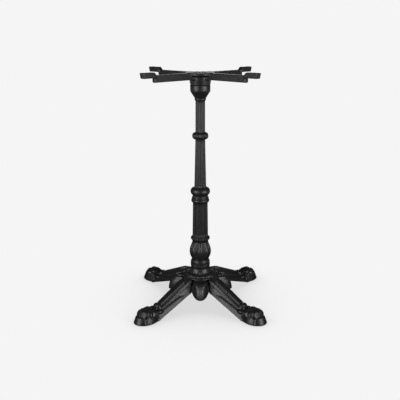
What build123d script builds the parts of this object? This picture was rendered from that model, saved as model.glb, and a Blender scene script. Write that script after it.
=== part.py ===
import os
from math import acos, asin, cos, pi, sin, sqrt

from build123d import *

# Bistro table base in millimetres: floor at zero, column axis on Z, legs and arms on the diagonals

HEIGHT = 720.0
BASE_H = 111.0
LEGS = 4
DIAGONAL = 45.0
FIT = 0.3

# Spigots on the column that seat it in the base and in the spider
SPIGOT_R = 18.0
SPIGOT_H = 6.0

# Tie rod with its nuts and washers
ROD_R = 6.0
ROD_HOLE_R = 7.0
ROD_SPARE = 3.0
NUT_FLATS = 19.0
NUT_H = 10.0
WASHER_R = 15.0
WASHER_T = 3.0

# Column, stacked upward from the base
COLLAR_R = 30.25
COLLAR_H = 13.5
OVOLO_R = 28.25
OVOLO_H = 13.0
FOOT_NECK_R = 22.2
BELLY_R = 30.5
BELLY_RISE = 10.0
BULB_R = 33.1
BULB_RISE = 22.5
BULB_H = 56.5
BULB_LEAVES = 8
LEAF_DEPTH = 2.4
RUFF_NECK_R = 24.4
RUFF_R = 30.7
RUFF_TUBE_R = 10.0
RUFF_LOBES = 16
RUFF_DEPTH = 1.6
LOWER_SHAFT_R = 24.2
LOWER_SHAFT_TOP_R = 22.7
LOWER_SHAFT_L = 108.0
LOWER_FLUTES = 16
LIP_R = 27.8
LIP_RISE = 10.0
LIP_H = 24.0
RING_NECK_R = 23.6
RING_R = 30.1
RING_TUBE_R = 13.0
MIDDLE_SHAFT_R = 18.0
MIDDLE_SHAFT_TOP_R = 14.7
MIDDLE_SHAFT_L = 147.0
UPPER_FLUTES = 12
KNOP_R = 25.0
KNOP_TUBE_R = 10.8
KNOP_LOBES = 12
KNOP_DEPTH = 1.8
UPPER_SHAFT_R = 14.4
UPPER_SHAFT_TOP_R = 14.15
ASTRAGAL_R = 17.1
ASTRAGAL_H = 7.0
CAPITAL_NECK_H = 18.5
CAPITAL_R = 29.7
CAPITAL_H = 18.5
CORE_R = 8.0
FOOT_CORE_R = 14.0
ROUND_STEPS = 4
ROUND_FACETS = 32

# Flutes: depth as a share of the shaft's radius, half a land as a share of the pitch
FLUTE_SINK = 0.09
FLUTE_LAND = 0.14
FLUTE_FACETS = 3

# Spider, measured down from its tabs
TAB_RISE = 8.0
SPIDER_H = 36.0
PLATE_R = 44.0
PLATE_T = 9.0
BELL_R = 32.6
WELL_R = 18.0
WELL_DEPTH = 16.5
ARM_H = 20.0
ARM_ROOT_W = 18.0
ARM_END_W = 12.0
ARM_END = 179.0
TAB_W = 16.4
TAB_T = 15.5
TAB_START = 172.0
TAB_END = 221.8
TAB_UNDERCUT = 3.5
TAB_HOLE_R = 3.25
TAB_HOLE_INSET = 16.0

# Base hub, measured down from the column's seat
HUB_R = 29.6
WAIST_DROP = 18.0
WAIST_R = 35.0
SHOULDER_DROP = 29.0
SHOULDER_R = 50.0
SHOULDER_T = 4.0
DRUM_R = 46.0
DRUM_H = 30.0
DRUM_WALL = 8.0
ROOF_T = 36.0

# Base legs, distances along a leg from the column axis
LEG_NECK_START = 28.0
LEG_NECK_W = 16.0
LEG_START = 54.0
LEG_ROOT = 68.0
LEG_HEEL = 199.0
LEG_DROP = 20.0
LEG_ROOT_H = 42.5
LEG_HEEL_TOP = 31.0
LEG_HEEL_FOOT = 1.0
LEG_HALF_W = 31.0
LEG_WALL = 7.0
CROWN_WALL = 10.5
CROWN_W = 11.0
CROWN_DROP = 7.0
CROWN_STEPS = 6
BAND_EDGE_W = 17.0
BAND_EDGE_DROP = 17.0
BAND_STEP = 1.6
ROLL_W = 25.0
ROLL_H = 9.0
ROLL_BULGE_W = 30.4
ROLL_BULGE_H = 5.5
ANKLE_L = 23.0
ANKLE_PEAK = 13.0
ANKLE_RISE = 7.0

# Base paw feet, distances beyond a leg's heel
SOLE_MID = 27.0
PAW_L = 68.0
SOLE_H = 21.0
SOLE_DRAFT = 6.5
SOLE_HALF_W = 32.5
HEEL_HALF_W = 29.5
SOLE_STEPS = 12
TOES = 4
TOE_FACETS = 3
PAW_NECK_W = 20.0
PAW_NECK_TOP = 37.0
NECK_CLEFT = 0.5
PAW_CREST = 21.0
PAW_CREST_W = 24.5
PAW_CREST_TOP = 43.5
CREST_CLEFT = 1.0
PAW_KNUCKLE = 41.0
PAW_KNUCKLE_W = 22.5
PAW_KNUCKLE_TOP = 36.0
KNUCKLE_CLEFT = 3.0
PAW_NAIL = 58.0
PAW_NAIL_W = 12.0
PAW_NAIL_TOP = 24.5
NAIL_CLEFT = 1.0

# Base hanging tongues, reach measured from each tongue's own upright axis
TONGUE_AXIS = 56.0
TONGUE_REACH = 46.0
TONGUE_ROOT = 10.0
TONGUE_TOP_DROP = 20.0
TONGUE_RISE = 2.5
TONGUE_DROP = 56.0
TONGUE_T = 9.0
TONGUE_HALF_W = 27.5
TONGUE_TIP_W = 4.0
TONGUE_FLATNESS = 2.8
TONGUE_RIBS = 4
TONGUE_STEPS = 4
VEIN_DEPTH = 2.0
WEB_W = 32.0
WEB_T = 9.0
WEB_ROOT_T = 18.0

# Heights that the pieces share
SPIDER_TOP = HEIGHT - TAB_RISE
SPIDER_SEAM = SPIDER_TOP - SPIDER_H
ROOF_Z = BASE_H - ROOF_T
SHOULDER_Z = BASE_H - SHOULDER_DROP
LEG_ROOT_TOP = BASE_H - LEG_DROP
LEG_ROOT_FOOT = LEG_ROOT_TOP - LEG_ROOT_H
TONGUE_TOP_Z = BASE_H - TONGUE_TOP_DROP
TONGUE_TIP_Z = TONGUE_TOP_Z - TONGUE_DROP

# Places along a leg
ANKLE_START = LEG_HEEL - ANKLE_L
ANKLE_X = LEG_HEEL - ANKLE_PEAK
SOLE_X = LEG_HEEL + SOLE_MID
PAW_TIP = LEG_HEEL + PAW_L


def at(r, z):
    """Point in the XZ plane at a radius and a height."""
    return (r, 0, z)


def polar(r, angle, z):
    """Point at a radius, an angle in radians and a height."""
    return (r * cos(angle), r * sin(angle), z)


def ease(a, b, t):
    """Value on a smooth run from a to b."""
    return a + (b - a) * (1 - cos(pi * t)) / 2


def around(shape, count, start=0.0):
    """The shape repeated evenly round Z."""
    return [Rot(0, 0, start + 360 / count * i) * shape for i in range(count)]


def drum(r, foot, top):
    """Upright cylinder between two heights."""
    return Pos(0, 0, (foot + top) / 2) * Cylinder(r, top - foot)


def turned(points):
    """Solid turned round Z from an outline given from its foot upward, closed on the axis."""
    outline = [at(0, points[0][1])] + [at(r, z) for r, z in points] + [at(0, points[-1][1])]
    return revolve(make_face(Polyline(outline, close=True)), Axis.Z)


def skinned(sections):
    """Solid skinned with flat facets over sections that have the same number of points."""
    faces = [Face(Wire.make_polygon(sections[0])), Face(Wire.make_polygon(sections[-1]))]
    for near, far in zip(sections, sections[1:]):
        for i in range(len(near)):
            k = i - 1
            faces.append(Face(Wire.make_polygon([near[k], near[i], far[i]])))
            faces.append(Face(Wire.make_polygon([near[k], far[i], far[k]])))
    return Solid(Shell(faces))


# Column

def ring_line(foot, r, tube, r_below, r_above):
    """Points over a round moulding, from the radius below it to the radius above it."""
    start = -acos(1 - (r - r_below) / tube)
    end = acos(1 - (r - r_above) / tube)
    middle = foot - tube * sin(start)
    points = []
    for i in range(ROUND_STEPS + 1):
        a = start + (end - start) * i / ROUND_STEPS
        points.append((r - tube * (1 - cos(a)), middle + tube * sin(a)))
    return points


def round_section(z, r):
    """Points across a plain round moulding."""
    return [polar(r, 2 * pi * i / ROUND_FACETS, z) for i in range(ROUND_FACETS)]


def fluted_section(z, r, flutes):
    """Points across a fluted shaft: narrow lands with hollow flutes between them."""
    step = 2 * pi / flutes
    points = []
    for i in range(flutes):
        points.append(polar(r, (i - FLUTE_LAND) * step, z))
        for k in range(FLUTE_FACETS):
            turn = FLUTE_LAND + (1 - 2 * FLUTE_LAND) * k / FLUTE_FACETS
            sink = FLUTE_SINK * r * sin(pi * k / FLUTE_FACETS)
            points.append(polar(r - sink, (i + turn) * step, z))
    return points


def fluted_shaft(foot, r_foot, top, r_top, flutes):
    """Tapered shaft with flutes along its length."""
    return skinned([fluted_section(foot, r_foot, flutes), fluted_section(top, r_top, flutes)])


def lobed_section(z, r, lobes, depth):
    """Points across a lobed moulding: ridges with clefts between them."""
    return [polar(r - depth * (i % 2), i * pi / lobes, z) for i in range(2 * lobes)]


def lobed_moulding(line, lobes, depth):
    """Moulding whose lobes follow a side line and fade out at both ends."""
    sections = []
    for i, (r, z) in enumerate(line):
        swell = sin(pi * (i + 1) / (len(line) + 1))
        sections.append(lobed_section(z, r, lobes, depth * swell))
    return skinned(sections)


def column():
    """One hollow casting from the base to the spider."""
    foot = BASE_H - SPIGOT_H
    collar_top = BASE_H + COLLAR_H
    neck = collar_top + OVOLO_H
    shape = drum(SPIGOT_R, foot, BASE_H)
    shape += turned([
        (COLLAR_R, BASE_H),
        (COLLAR_R, collar_top),
        (OVOLO_R, collar_top + OVOLO_H / 2),
        (FOOT_NECK_R, neck),
    ])

    bulb_middle = neck + BULB_RISE
    bulb_top = neck + BULB_H
    bulb = [
        (FOOT_NECK_R, neck),
        (BELLY_R, neck + BELLY_RISE),
        (BULB_R, bulb_middle),
        (BELLY_R, (bulb_middle + bulb_top) / 2),
        (RUFF_NECK_R, bulb_top),
    ]
    shape += lobed_moulding(bulb, BULB_LEAVES, LEAF_DEPTH)
    ruff = ring_line(bulb_top, RUFF_R, RUFF_TUBE_R, RUFF_NECK_R, LOWER_SHAFT_R)
    shape += lobed_moulding(ruff, RUFF_LOBES, RUFF_DEPTH)
    ruff_top = ruff[-1][1]
    lip_foot = ruff_top + LOWER_SHAFT_L
    shape += fluted_shaft(ruff_top, LOWER_SHAFT_R, lip_foot, LOWER_SHAFT_TOP_R, LOWER_FLUTES)

    lip = [(RING_NECK_R, lip_foot), (LIP_R, lip_foot + LIP_RISE)]
    ring = ring_line(lip_foot + LIP_H, RING_R, RING_TUBE_R, RING_NECK_R, MIDDLE_SHAFT_R)
    shape += skinned([round_section(z, r) for r, z in lip + ring])
    ring_top = ring[-1][1]
    knop_foot = ring_top + MIDDLE_SHAFT_L
    shape += fluted_shaft(ring_top, MIDDLE_SHAFT_R, knop_foot, MIDDLE_SHAFT_TOP_R, UPPER_FLUTES)
    knop = ring_line(knop_foot, KNOP_R, KNOP_TUBE_R, MIDDLE_SHAFT_TOP_R, UPPER_SHAFT_R)
    shape += lobed_moulding(knop, KNOP_LOBES, KNOP_DEPTH)

    capital_foot = SPIDER_SEAM - CAPITAL_H
    astragal_top = capital_foot - CAPITAL_NECK_H
    astragal_foot = astragal_top - ASTRAGAL_H
    shape += fluted_shaft(knop[-1][1], UPPER_SHAFT_R, astragal_foot, UPPER_SHAFT_TOP_R, UPPER_FLUTES)
    shape += turned([
        (ASTRAGAL_R, astragal_foot),
        (ASTRAGAL_R, astragal_top),
        (CAPITAL_R, capital_foot),
        (CAPITAL_R, SPIDER_SEAM),
    ])
    head = SPIDER_SEAM + SPIGOT_H
    shape += drum(SPIGOT_R, SPIDER_SEAM, head)
    return shape - drum(FOOT_CORE_R, foot, lip_foot) - drum(CORE_R, lip_foot, head)


# Spider

def spider_arm():
    """One arm along X, tapering outward, with a stepped screw tab on its end."""
    root = ARM_ROOT_W / 2
    end = ARM_END_W / 2
    plan = make_face(Polyline((0, root), (ARM_END, end), (ARM_END, -end), (0, -root), close=True))
    arm = extrude(Pos(0, 0, SPIDER_TOP - ARM_H) * plan, ARM_H)
    side = make_face(
        Polyline(
            at(TAB_START, SPIDER_TOP),
            at(TAB_START + TAB_RISE, HEIGHT),
            at(TAB_END, HEIGHT),
            at(TAB_END - TAB_UNDERCUT, HEIGHT - TAB_T),
            at(TAB_START, HEIGHT - TAB_T),
            close=True,
        )
    )
    return arm + extrude(side, TAB_W / 2, both=True)


def top_spider():
    """One casting that carries the table top."""
    shape = turned([
        (CAPITAL_R, SPIDER_SEAM),
        (BELL_R, SPIDER_TOP - ARM_H),
        (PLATE_R, SPIDER_TOP - PLATE_T),
        (PLATE_R, SPIDER_TOP),
    ])
    shape += around(spider_arm(), LEGS, DIAGONAL)
    shape -= drum(WELL_R, SPIDER_TOP - WELL_DEPTH, HEIGHT)
    shape -= drum(SPIGOT_R + FIT, SPIDER_SEAM, SPIDER_SEAM + SPIGOT_H + FIT)
    shape -= drum(ROD_HOLE_R, SPIDER_SEAM, HEIGHT)
    hole = Pos(TAB_END - TAB_HOLE_INSET, 0, 0) * drum(TAB_HOLE_R, SPIDER_TOP - ARM_H, HEIGHT)
    return shape - around(hole, LEGS, DIAGONAL)


# Base casting

def leg_line(root, heel, x):
    """Height of a straight line along a leg."""
    return root + (heel - root) * (x - LEG_ROOT) / (LEG_HEEL - LEG_ROOT)


def leg_top(x):
    """Height of a leg's crown."""
    return leg_line(LEG_ROOT_TOP, LEG_HEEL_TOP, x)


def leg_foot(x):
    """Height of a leg's lower edge."""
    return leg_line(LEG_ROOT_FOOT, LEG_HEEL_FOOT, x)


def crown_points(x, top, drop):
    """Points over a leg's round crown from one side to the other."""
    points = []
    for i in range(CROWN_STEPS + 1):
        a = pi * i / CROWN_STEPS
        points.append((x, -CROWN_W * cos(a), top - drop * (1 - sin(a))))
    return points


def leg_section(x):
    """Points across a leg: round crown, raised band, sloping panel and a roll along the lower edge."""
    top = leg_top(x)
    foot = leg_foot(x)
    if x < ANKLE_X:
        rise = ease(0, ANKLE_RISE, max(0, x - ANKLE_START) / (ANKLE_X - ANKLE_START))
    else:
        rise = ease(ANKLE_RISE, PAW_NECK_TOP - LEG_HEEL_TOP, (x - ANKLE_X) / (LEG_HEEL - ANKLE_X))
    side = [
        (BAND_EDGE_W, top - BAND_EDGE_DROP),
        (BAND_EDGE_W - BAND_STEP, top - BAND_EDGE_DROP - BAND_STEP),
        (ROLL_W, foot + ROLL_H),
        (ROLL_BULGE_W, foot + ROLL_BULGE_H),
        (LEG_HALF_W, foot),
    ]
    points = crown_points(x, top + rise, CROWN_DROP + rise)
    points += [(x, y, z) for y, z in side]
    return points + [(x, -y, z) for y, z in reversed(side)]


def leg_neck(x):
    """Points across the narrow root that joins a leg to the hub."""
    top = leg_top(x)
    w = LEG_NECK_W
    eave = top - CROWN_DROP - w + CROWN_W
    points = crown_points(x, top, CROWN_DROP)
    return points + [(x, w, eave), (x, w, LEG_ROOT_FOOT), (x, -w, LEG_ROOT_FOOT), (x, -w, eave)]


def leg_void(x):
    """Points across the hollow under a leg, which keeps its distance below the crown."""
    top = leg_top(x) - CROWN_WALL
    crown = CROWN_W - LEG_WALL
    w = LEG_HALF_W - LEG_WALL
    foot = top - LEG_ROOT_H
    return [(x, crown, top), (x, w, foot), (x, -w, foot), (x, -crown, top)]


def sole_section(z, inset):
    """Points round the sole at a level: square heel and half-oval tip."""
    w = SOLE_HALF_W - inset
    reach = PAW_TIP - inset - SOLE_X
    points = []
    for i in range(SOLE_STEPS + 1):
        a = pi * (i / SOLE_STEPS - 0.5)
        points.append((SOLE_X + reach * cos(a), w * sin(a), z))
    for side in (1, -1):
        points.append((LEG_HEEL, side * (HEEL_HALF_W - inset), z))
    return points


def paw_section(x, w, top, cleft):
    """Points over a paw above its sole: an arch of round toes with clefts between them."""
    h = top - SOLE_H
    last = TOES * TOE_FACETS
    points = []
    for i in range(last + 1):
        a = pi * i / last
        sink = 0 if i % TOE_FACETS or i in (0, last) else cleft
        points.append((x, (w - sink) * cos(a), SOLE_H + (h - sink) * sin(a)))
    return points


def paw():
    """Paw foot: a drafted sole with toes running down to its tip."""
    neck = (LEG_HEEL, PAW_NECK_W, PAW_NECK_TOP, NECK_CLEFT)
    crest = (LEG_HEEL + PAW_CREST, PAW_CREST_W, PAW_CREST_TOP, CREST_CLEFT)
    knuckle = (LEG_HEEL + PAW_KNUCKLE, PAW_KNUCKLE_W, PAW_KNUCKLE_TOP, KNUCKLE_CLEFT)
    nail = (LEG_HEEL + PAW_NAIL, PAW_NAIL_W, PAW_NAIL_TOP, NAIL_CLEFT)
    sections = [paw_section(*neck)]
    for start, end in ((neck, crest), (crest, knuckle), (knuckle, nail)):
        middle = [ease(a, b, 0.5) for a, b in zip(start, end)]
        sections += [paw_section(*middle), paw_section(*end)]
    sole = skinned([sole_section(0, 0), sole_section(SOLE_H, SOLE_DRAFT)])
    return sole + skinned(sections)


def leg():
    """One leg along X with its paw, hollow underneath."""
    ankle = [ANKLE_START, (ANKLE_START + ANKLE_X) / 2, ANKLE_X, (ANKLE_X + LEG_HEEL) / 2, LEG_HEEL]
    shape = skinned([leg_section(x) for x in [LEG_START] + ankle])
    shape += skinned([leg_neck(LEG_NECK_START), leg_neck(LEG_START)])
    shape -= skinned([leg_void(LEG_ROOT + LEG_WALL), leg_void(LEG_HEEL - LEG_WALL)])
    return shape + paw()


def tongue_reach(z):
    """Reach of a tongue's outside at a height, swelling like a quarter of an oval."""
    above = (z - TONGUE_TIP_Z) / (TONGUE_DROP + TONGUE_RISE)
    return TONGUE_ROOT + (TONGUE_REACH - TONGUE_ROOT) * sqrt(1 - above**2)


def hood_point(reach, half, angle, z):
    """Point at an angle round a hood's outline, a flattened half oval."""
    side = 1 if angle > 0 else -1
    x = reach * cos(angle) ** (2 / TONGUE_FLATNESS)
    return (x, side * half * abs(sin(angle)) ** (2 / TONGUE_FLATNESS), z)


def tongue_section(z):
    """Points across a tongue at a height: ribbed outside, plain inside, narrowing round its tip."""
    reach = tongue_reach(z)
    half = TONGUE_HALF_W * (1 + reach / TONGUE_REACH) / 2
    rise = max(0.0, min(z - TONGUE_TIP_Z, TONGUE_HALF_W))
    w = min(sqrt(rise * (2 * TONGUE_HALF_W - rise)) + TONGUE_TIP_W, half)
    end = asin((w / half) ** (TONGUE_FLATNESS / 2))
    vein = VEIN_DEPTH * w / TONGUE_HALF_W
    points = []
    for i in range(2 * TONGUE_RIBS + 1):
        sink = vein * ((i + 1) % 2)
        points.append(hood_point(reach - sink, half - sink, end * (i / TONGUE_RIBS - 1), z))
    for i in range(TONGUE_RIBS + 1):
        a = end * (1 - 2 * i / TONGUE_RIBS)
        points.append(hood_point(reach - TONGUE_T, half - TONGUE_T, a, z))
    return points


def tongue():
    """One hanging leaf along X: a ribbed hood, open behind and below, with a web to the hub."""
    levels = []
    for i in range(TONGUE_STEPS + 1):
        levels.append(TONGUE_TOP_Z - TONGUE_DROP * sin(pi / 2 * i / TONGUE_STEPS))
    plate = skinned([tongue_section(z) for z in levels])
    web_start = HUB_R - TONGUE_AXIS
    web_end = tongue_reach(TONGUE_TOP_Z) - 3 * TONGUE_T / 4
    web = make_face(
        Polyline(
            at(web_start, TONGUE_TOP_Z),
            at(web_end, TONGUE_TOP_Z),
            at(web_end, TONGUE_TOP_Z - WEB_T),
            at(web_start, TONGUE_TOP_Z - WEB_ROOT_T),
            close=True,
        )
    )
    return Pos(TONGUE_AXIS, 0, 0) * (plate + extrude(web, WEB_W / 2, both=True))


def base_casting():
    """Hub, four legs and four tongues in one casting."""
    eave = SHOULDER_Z - SHOULDER_T
    shape = turned([
        (DRUM_R, eave - DRUM_H),
        (DRUM_R, eave),
        (SHOULDER_R, eave),
        (SHOULDER_R, SHOULDER_Z),
        (WAIST_R, BASE_H - WAIST_DROP),
        (HUB_R, BASE_H),
    ])
    shape += around(leg(), LEGS, DIAGONAL)
    shape += around(tongue(), LEGS)
    shape -= drum(DRUM_R - DRUM_WALL, 0, ROOF_Z)
    shape -= drum(SPIGOT_R + FIT, BASE_H - SPIGOT_H - FIT, BASE_H)
    return shape - drum(ROD_HOLE_R, 0, BASE_H)


# Tie rod with its nuts and washers

def washer(z):
    """Flat washer lying at a height."""
    return drum(WASHER_R, z, z + WASHER_T) - drum(ROD_R + FIT, z, z + WASHER_T)


def nut(z):
    """Hexagon nut standing at a height."""
    hexagon = RegularPolygon(NUT_FLATS / 2, 6, major_radius=False) - Circle(ROD_R)
    return Pos(0, 0, z) * extrude(hexagon, NUT_H)


well_floor = SPIDER_TOP - WELL_DEPTH
upper_nut_z = well_floor + WASHER_T
lower_washer_z = ROOF_Z - WASHER_T
lower_nut_z = lower_washer_z - NUT_H

parts = {
    "base_casting": base_casting(),
    "column": column(),
    "top_spider": top_spider(),
    "tie_rod": drum(ROD_R, lower_nut_z - ROD_SPARE, upper_nut_z + NUT_H + ROD_SPARE),
    "washers": Compound([washer(well_floor), washer(lower_washer_z)]),
    "nuts": Compound([nut(upper_nut_z), nut(lower_nut_z)]),
}

os.makedirs("parts", exist_ok=True)
for name, shape in parts.items():
    export_step(shape, "parts/" + name + ".step")
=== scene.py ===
import math

import bpy
import numpy as np
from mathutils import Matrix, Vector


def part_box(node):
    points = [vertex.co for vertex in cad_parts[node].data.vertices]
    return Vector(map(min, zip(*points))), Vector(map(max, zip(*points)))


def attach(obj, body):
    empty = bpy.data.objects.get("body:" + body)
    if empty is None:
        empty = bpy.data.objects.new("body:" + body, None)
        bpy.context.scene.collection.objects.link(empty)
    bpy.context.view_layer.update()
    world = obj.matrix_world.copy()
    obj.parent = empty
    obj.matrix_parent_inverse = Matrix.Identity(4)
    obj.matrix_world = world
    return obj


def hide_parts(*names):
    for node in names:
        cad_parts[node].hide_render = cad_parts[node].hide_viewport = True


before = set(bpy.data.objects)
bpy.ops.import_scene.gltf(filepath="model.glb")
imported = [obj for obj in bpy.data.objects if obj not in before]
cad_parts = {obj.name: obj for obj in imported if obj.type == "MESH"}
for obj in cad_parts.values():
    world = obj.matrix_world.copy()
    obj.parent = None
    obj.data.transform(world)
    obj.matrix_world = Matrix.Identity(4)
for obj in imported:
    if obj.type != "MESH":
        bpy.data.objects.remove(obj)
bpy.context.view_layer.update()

# Shapes are worked out in millimetres and become meshes in metres.
# A pair of values named IN or OUT is the stretch over which a form comes in or goes out.
MM = 0.001

# Camera, in metres, pixels and millimetres of sensor
CAMERA_BACK = 1.775
CAMERA_H = 0.8285
CAMERA_PITCH = 0.2754
FOCAL_PX = 599.8
FRAME_PX = 400
SENSOR = 36.0
CAMERA_SHIFT = -0.0007

# Backdrop and floor as the camera sees them, the floor shaded close to the object
BACKDROP = 0.913
FLOOR_HALF = 12.0
SHADE = 0.69
SHADE_DEEPEST = 0.66
SHADE_REACH = 0.27
SHADE_SAMPLES = 16

# What lights the object: room, floor on both sides of a dark lane, and two softboxes, in metres
ROOM_GLOW = 0.05
BACK_GLOW = 4.0
BACK_EDGE = 0.97
FLOOR_GLOW = 0.38
LANE_DARK = 0.5
LANE_EDGE = 1.2
LANE_FAR = 3.0
LANE_END = 5.0
SOFTBOX_X = 1.84
SOFTBOX_BACK = 1.54
SOFTBOX_MID_Z = 0.92
SOFTBOX_AIM_Z = 0.6
SOFTBOX_W = 1.6
SOFTBOX_H = 1.74
SOFTBOX_WATTS = 42.0

# Finishes: each noise as its scale per metre and detail, each grain relief as strength and metres
NOISE_RANGE = (0.3, 0.7)
IRON_DARK = (0.0105, 0.0105, 0.0108)
IRON_PALE = (0.018, 0.018, 0.0184)
IRON_PATCHES = (45, 4)
IRON_GLOSS = (120, 5)
IRON_GLOSS_RANGE = (0.25, 0.75)
IRON_ROUGHNESS = (0.32, 0.42)
IRON_SPECULAR = 0.5
IRON_GRAIN = (600, 3)
IRON_GRAIN_RELIEF = (0.06, 0.0003)
STEEL_DARK = (0.36, 0.36, 0.37)
STEEL_PALE = (0.5, 0.5, 0.5)
STEEL_PATCHES = (300, 4)
STEEL_GLOSS = (700, 3)
STEEL_ROUGHNESS = (0.3, 0.48)
STEEL_GRAIN = (2500, 2)
STEEL_GRAIN_RELIEF = (0.1, 0.0002)

# Meshes of the castings: sample steps, margin in samples, digits for welding, triangles kept
BASE_VOXEL = 1.0
BASE_REACH = 199.0
BASE_TRIANGLES = 190000
SPIDER_VOXEL = 1.0
SPIDER_REACH = 166.0
SPIDER_TRIANGLES = 90000
GRID_MARGIN = 2
WELD_DIGITS = 3

# Scale that makes a field on a leaning face about a true distance
FACE_SCALE = 0.9
SIDE_SCALE = 0.8
NECK_SCALE = 0.75
SOLE_SCALE = 0.95
HUB_SCALE = 0.7
BELL_SCALE = 0.85
RISE_SCALE = 1.3

# Seams between the castings, from the frame
BASE_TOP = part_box("base_casting")[1].z / MM
COLUMN_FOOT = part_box("column")[0].z / MM
COLUMN_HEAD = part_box("column")[1].z / MM
SPIDER_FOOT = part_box("top_spider")[0].z / MM
SPIDER_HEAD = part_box("top_spider")[1].z / MM

# Column: steps round it and rows up each stretch
COLUMN_STEPS = 240
TIP_ROWS = 2
EDGE_ROWS = 3
BAND_ROWS = 4
CONE_ROWS = 6
BEAD_ROWS = 10
ASTRAGAL_ROWS = 12
LIP_ROWS = 14
OVOLO_ROWS = 14
SHAFT_ROWS = 20
COLLAR_ROWS = 22
RING_ROWS = 30
KNOP_ROWS = 34
RUFF_ROWS = 36
BULB_ROWS = 96

# Column foot: spigot, collar and its round top
SPIGOT_R = 17.9
CORE_R = 8.0
FOOT_CORE_R = 14.0
SEAM = 3.0
COLLAR_R = 30.2
COLLAR_H = 18.0
COLLAR_TOP = BASE_TOP + COLLAR_H
COLLAR_ROUND_R = 1.4
COLLAR_ROUND_H = 1.0
OVOLO_H = 8.5
OVOLO_FULLNESS = 2.2
FOOT_NECK_R = 22.2

# Zigzag on the collar, in shares of the collar's height
COLLAR_POINTS = 16
ZIGZAG_DEPTH = 0.6
ZIGZAG_FOOT = 0.12
ZIGZAG_H = 0.62
ZIGZAG_EDGE = 0.16
ZIGZAG_IN = (0.05, 0.2)
ZIGZAG_OUT = (0.85, 0.98)

# Column bulb, with its leaves in shares of a leaf's turn and of the bulb's height
BULB_FOOT = COLLAR_TOP + OVOLO_H
BULB_H = 56.5
BULB_SWELL = 10.1
BULB_WIDEST = 0.372
BULB_SLIMNESS = 1.15
BULB_LEAVES = 8
CLEFT_DEPTH = 2.6
CLEFT_W = 0.07
HOLLOW_DEPTH = 1.5
HOLLOW_W = 0.085
MIDRIB_RISE = 0.5
MIDRIB_W = 0.05
ARCH_DEPTH = 0.8
ARCH_W = 0.05
ARCH_SPREAD = 0.46
ARCH_TOP = 0.8
ARCH_FULLNESS = 0.7
ARCH_IN = (0.05, 0.2)

# Column ruff above the bulb
RUFF_FOOT = BULB_FOOT + BULB_H
RUFF_H = 18.58
RUFF_R = 30.6
RUFF_NECK_R = 24.4
RUFF_EDGE = 0.6
RUFF_FLARE = 1.4
RUFF_SLOPE = 0.8
RUFF_LOBES = 16
RUFF_LOBE_DEPTH = 1.6
LOBE_FULLNESS = 0.7

# Column shafts, lip, bead, ring and knop
FLUTE_LAND = 0.14
FLUTE_SINK = 0.11
LOWER_FOOT = RUFF_FOOT + RUFF_H
LOWER_R = 24.2
LOWER_TOP_R = 22.7
LOWER_L = 108.0
LOWER_FLUTES = 16
LOWER_FLUTE_END = 8.0
LIP_FOOT = LOWER_FOOT + LOWER_L
LIP_R = 27.7
LIP_TUBE = 7.0
LIP_STEP = 1.2
LIP_H = 24.0
BEAD_TUBE = 2.6
BEAD_STEP = 0.4
RING_FOOT = LIP_FOOT + LIP_H
RING_NECK_R = 23.6
RING_R = 30.0
RING_TUBE = 13.0
MIDDLE_R = 18.0
MIDDLE_TOP_R = 14.7
MIDDLE_L = 147.0
UPPER_FLUTES = 12
UPPER_FLUTE_END = 7.0
KNOP_R = 24.9
KNOP_TUBE = 10.8
KNOP_LOBES = 12
KNOP_LOBE_DEPTH = 2.4
UPPER_R = 14.4
UPPER_TOP_R = 14.15

# Column head: astragal, cone and capital, from the spider down
CAPITAL_R = 29.6
CAPITAL_H = 18.5
CAPITAL_EDGE = 0.8
CAPITAL_LIP = 0.6
CAPITAL_FOOT = SPIDER_FOOT - CAPITAL_H
CAPITAL_NECK_H = 18.5
CONE_FOOT_R = 17.4
ASTRAGAL_TOP = CAPITAL_FOOT - CAPITAL_NECK_H
ASTRAGAL_R = 17.0
ASTRAGAL_FOOT_R = 15.8
ASTRAGAL_TOP_R = 16.3
ASTRAGAL_H = 7.0
ASTRAGAL_TUBE = 3.6
ASTRAGAL_FOOT = ASTRAGAL_TOP - ASTRAGAL_H
ASTRAGAL_FLARE = 3.0
FLARE_FOOT = ASTRAGAL_FOOT - ASTRAGAL_FLARE

# Base hub
HUB_R = 29.5
DRUM_R = 46.0
DRUM_FOOT = 48.0
DRUM_INSIDE = 38.0
ROOF_Z = 75.0
SOCKET_R = 18.3
SOCKET_H = 6.3
ROD_HOLE_R = 7.0
HUB_FILLET = 2.5

# Hub outline from the floor up, as heights and radii of its corners
HUB_DRUM = ((DRUM_FOOT, DRUM_R), (77.0, DRUM_R))
HUB_RIM = ((78.5, 50.0), (79.5, 51.3), (84.0, 51.3), (85.4, 49.5), (86.4, 46.6))
HUB_SHOULDER = ((88.0, 46.4), (90.0, 45.4), (92.0, 43.0), (93.4, 40.0), (94.4, 35.0))
HUB_LINE = ((95.4, 34.4), (96.6, 35.4), (98.0, 33.6))
HUB_NECK = ((102.0, 32.0), (107.8, 29.8), (BASE_TOP, 26.1))

# Eggs on the hub's shoulder and teeth on the line above it
EGGS = 24
EGG_RELIEF = 1.8
EGG_SINK = 1.2
EGGS_IN = (86.5, 88.0)
EGGS_OUT = (92.5, 94.0)
TEETH = 24
TOOTH_RELIEF = 2.0
TOOTH_SINK = 1.4
TEETH_IN = (94.5, 96.0)
TEETH_OUT = (97.0, 98.5)

# Base legs, distances along a leg from the column axis
LEG_NECK_START = 28.0
LEG_NECK_W = 16.0
LEG_NECK_LAP = 2.0
NECK_FILLET = 1.0
LEG_START = 54.0
LEG_ROOT = 68.0
LEG_HEEL = 199.0
LEG_LAP = 4.0
LEG_ROOT_TOP = 91.0
LEG_HEEL_TOP = 31.0
LEG_ROOT_FOOT = 48.5
LEG_HEEL_FOOT = 1.0
LEG_HALF_W = 31.0
LEG_WALL = 7.0
LEG_FOOT_ROUND = 1.5
ROOT_DIP = 0.004
ROOT_DIP_START = 85.0

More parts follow.
